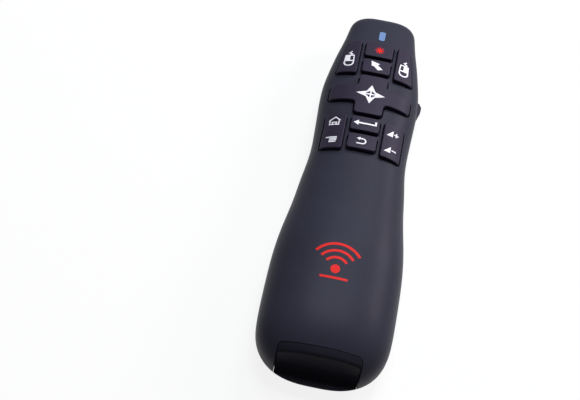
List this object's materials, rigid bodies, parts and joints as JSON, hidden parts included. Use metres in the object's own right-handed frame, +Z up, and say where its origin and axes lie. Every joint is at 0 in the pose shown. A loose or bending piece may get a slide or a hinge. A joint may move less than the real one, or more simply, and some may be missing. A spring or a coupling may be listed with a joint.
{
  "type": "wireless presentation clicker",
  "caption": "Palm-shaped wireless presentation remote with raised keys, tilting direction pad, side power slide, laser nose, pull-out radio receiver and sliding battery door.",
  "frame": {"origin": "on the underside, below the middle of the handset", "axes": "+Y towards the laser nose, +Z up through the keys, +X to the right when held nose forward"},
  "size_m": [0.0432, 0.14, 0.0259],
  "materials": {
    "soft_touch": "soft-touch paint over moulded plastic, charcoal",
    "key_plastic": "fine matt black",
    "lens_plastic": "translucent, pale blue",
    "window_plastic": "dark red translucent",
    "frame_plastic": "plain moulding",
    "silicone": "translucent silicone",
    "board": "green solder mask",
    "chip": "moulded epoxy",
    "steel": "bright",
    "gilt": "gold plated",
    "brass": "turned",
    "cell_jacket": "plain printed jacket",
    "lead_insulation": "insulated wire"
  },
  "bodies": {
    "casing": {"bottom_shell": "soft_touch", "top_shell": "soft_touch", "battery_frame": "frame_plastic", "battery_left": "cell_jacket", "battery_right": "cell_jacket", "battery_contact_plates": "steel", "battery_springs": "steel", "lead_left": "lead_insulation", "lead_right": "lead_insulation", "circuit_board": "board", "keypad_sheet": "silicone", "snap_domes": "steel", "controller_chip": "chip", "crystal_can": "steel", "indicator_led": "lens_plastic", "indicator_lens": "lens_plastic", "laser_module": "brass", "laser_lens": "window_plastic", "laser_pins": "gilt", "laser_window": "window_plastic", "slide_switch_body": "chip", "pad_pivot_post": "silicone", "case_screws": "steel", "board_screws": "steel"},
    "door": {"battery_door": "soft_touch"},
    "receiver": {"receiver_housing": "soft_touch", "plug_shell": "steel", "plug_tongue": "chip", "plug_contacts": "gilt"},
    "power_switch": {"power_switch_knob": "key_plastic"},
    "pad_tilt": {"pad_pivot_cup": "frame_plastic"},
    "pad": {"direction_pad": "key_plastic"},
    "page": {"page_rocker": "key_plastic"},
    "volume": {"volume_rocker": "key_plastic"},
    "laser_key": {"laser_key": "key_plastic"},
    "pointer_key": {"pointer_key": "key_plastic"},
    "left_click_key": {"left_click_key": "key_plastic"},
    "right_click_key": {"right_click_key": "key_plastic"},
    "enter_key": {"enter_key": "key_plastic"},
    "back_key": {"back_key": "key_plastic"}
  },
  "joints": [
    {"name": "laser_key_press", "type": "slide", "parent": "casing", "child": "laser_key", "axis": [0, 0, -1], "range_m": [0, 0.0007], "stiffness_N_per_m": 1200, "springref_m": -0.0004},
    {"name": "pointer_key_press", "type": "slide", "parent": "casing", "child": "pointer_key", "axis": [0, 0, -1], "range_m": [0, 0.0007], "stiffness_N_per_m": 1200, "springref_m": -0.0004},
    {"name": "left_click_key_press", "type": "slide", "parent": "casing", "child": "left_click_key", "axis": [0, 0, -1], "range_m": [0, 0.0007], "stiffness_N_per_m": 1200, "springref_m": -0.0004},
    {"name": "right_click_key_press", "type": "slide", "parent": "casing", "child": "right_click_key", "axis": [0, 0, -1], "range_m": [0, 0.0007], "stiffness_N_per_m": 1200, "springref_m": -0.0004},
    {"name": "enter_key_press", "type": "slide", "parent": "casing", "child": "enter_key", "axis": [0, 0, -1], "range_m": [0, 0.0007], "stiffness_N_per_m": 1200, "springref_m": -0.0004},
    {"name": "back_key_press", "type": "slide", "parent": "casing", "child": "back_key", "axis": [0, 0, -1], "range_m": [0, 0.0007], "stiffness_N_per_m": 1200, "springref_m": -0.0004},
    {"name": "pad_front_back_tilt", "type": "hinge", "parent": "casing", "child": "pad_tilt", "pos_m": [0, 0.0315, 0.0173], "axis": [1, 0, 0], "range_deg": [-3, 3], "stiffness_Nm_per_rad": 0.4},
    {"name": "pad_side_tilt", "type": "hinge", "parent": "pad_tilt", "child": "pad", "pos_m": [0, 0.0315, 0.0173], "axis": [0, 1, 0], "range_deg": [-3, 3], "stiffness_Nm_per_rad": 0.4},
    {"name": "page_rocker_tilt", "type": "hinge", "parent": "casing", "child": "page", "pos_m": [-0.00995, 0.0148, 0.018], "axis": [1, 0, 0], "range_deg": [-3, 3], "stiffness_Nm_per_rad": 0.3},
    {"name": "volume_rocker_tilt", "type": "hinge", "parent": "casing", "child": "volume", "pos_m": [0.00995, 0.0148, 0.018], "axis": [1, 0, 0], "range_deg": [-3, 3], "stiffness_Nm_per_rad": 0.3},
    {"name": "power_switch_slide", "type": "slide", "parent": "casing", "child": "power_switch", "axis": [0, 1, 0], "range_m": [0, 0.0024]},
    {"name": "receiver_pull", "type": "slide", "parent": "casing", "child": "receiver", "axis": [0, -1, 0], "range_m": [0, 0.038]},
    {"name": "battery_door_slide", "type": "slide", "parent": "casing", "child": "door", "axis": [0, -1, 0], "range_m": [0, 0.06]}
  ]
}
